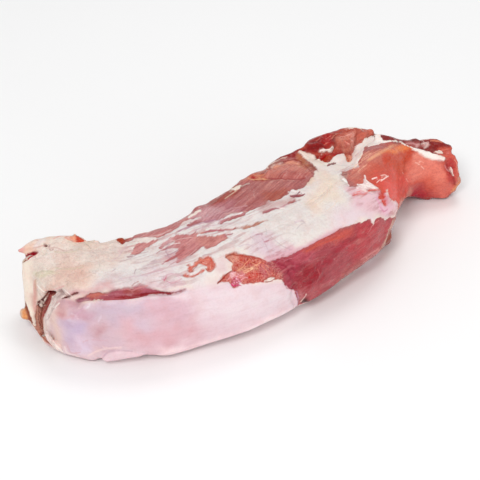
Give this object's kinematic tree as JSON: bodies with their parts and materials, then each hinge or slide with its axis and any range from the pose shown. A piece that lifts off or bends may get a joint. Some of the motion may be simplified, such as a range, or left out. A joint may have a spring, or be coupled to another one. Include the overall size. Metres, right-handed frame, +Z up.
{
  "type": "pork tenderloin",
  "caption": "Whole raw untrimmed pork tenderloin lying flat: blunt fat-covered end, curved body with silverskin, narrow ragged tail.",
  "frame": {"origin": "on the board under the middle of the bounding box", "axes": "+Z up from the board, +X along the piece from the blunt fat-covered end to the ragged tail, -Y the side with the smooth side fat"},
  "size_m": [0.28, 0.1082, 0.0543],
  "materials": {
    "raw_pork": "wet raw meat: dark pink-red muscle, orange-red along the cut edges, ivory fat and bluish-white silverskin, soft gloss"
  },
  "bodies": {
    "root": {"tenderloin": "raw_pork"}
  },
  "joints": []
}
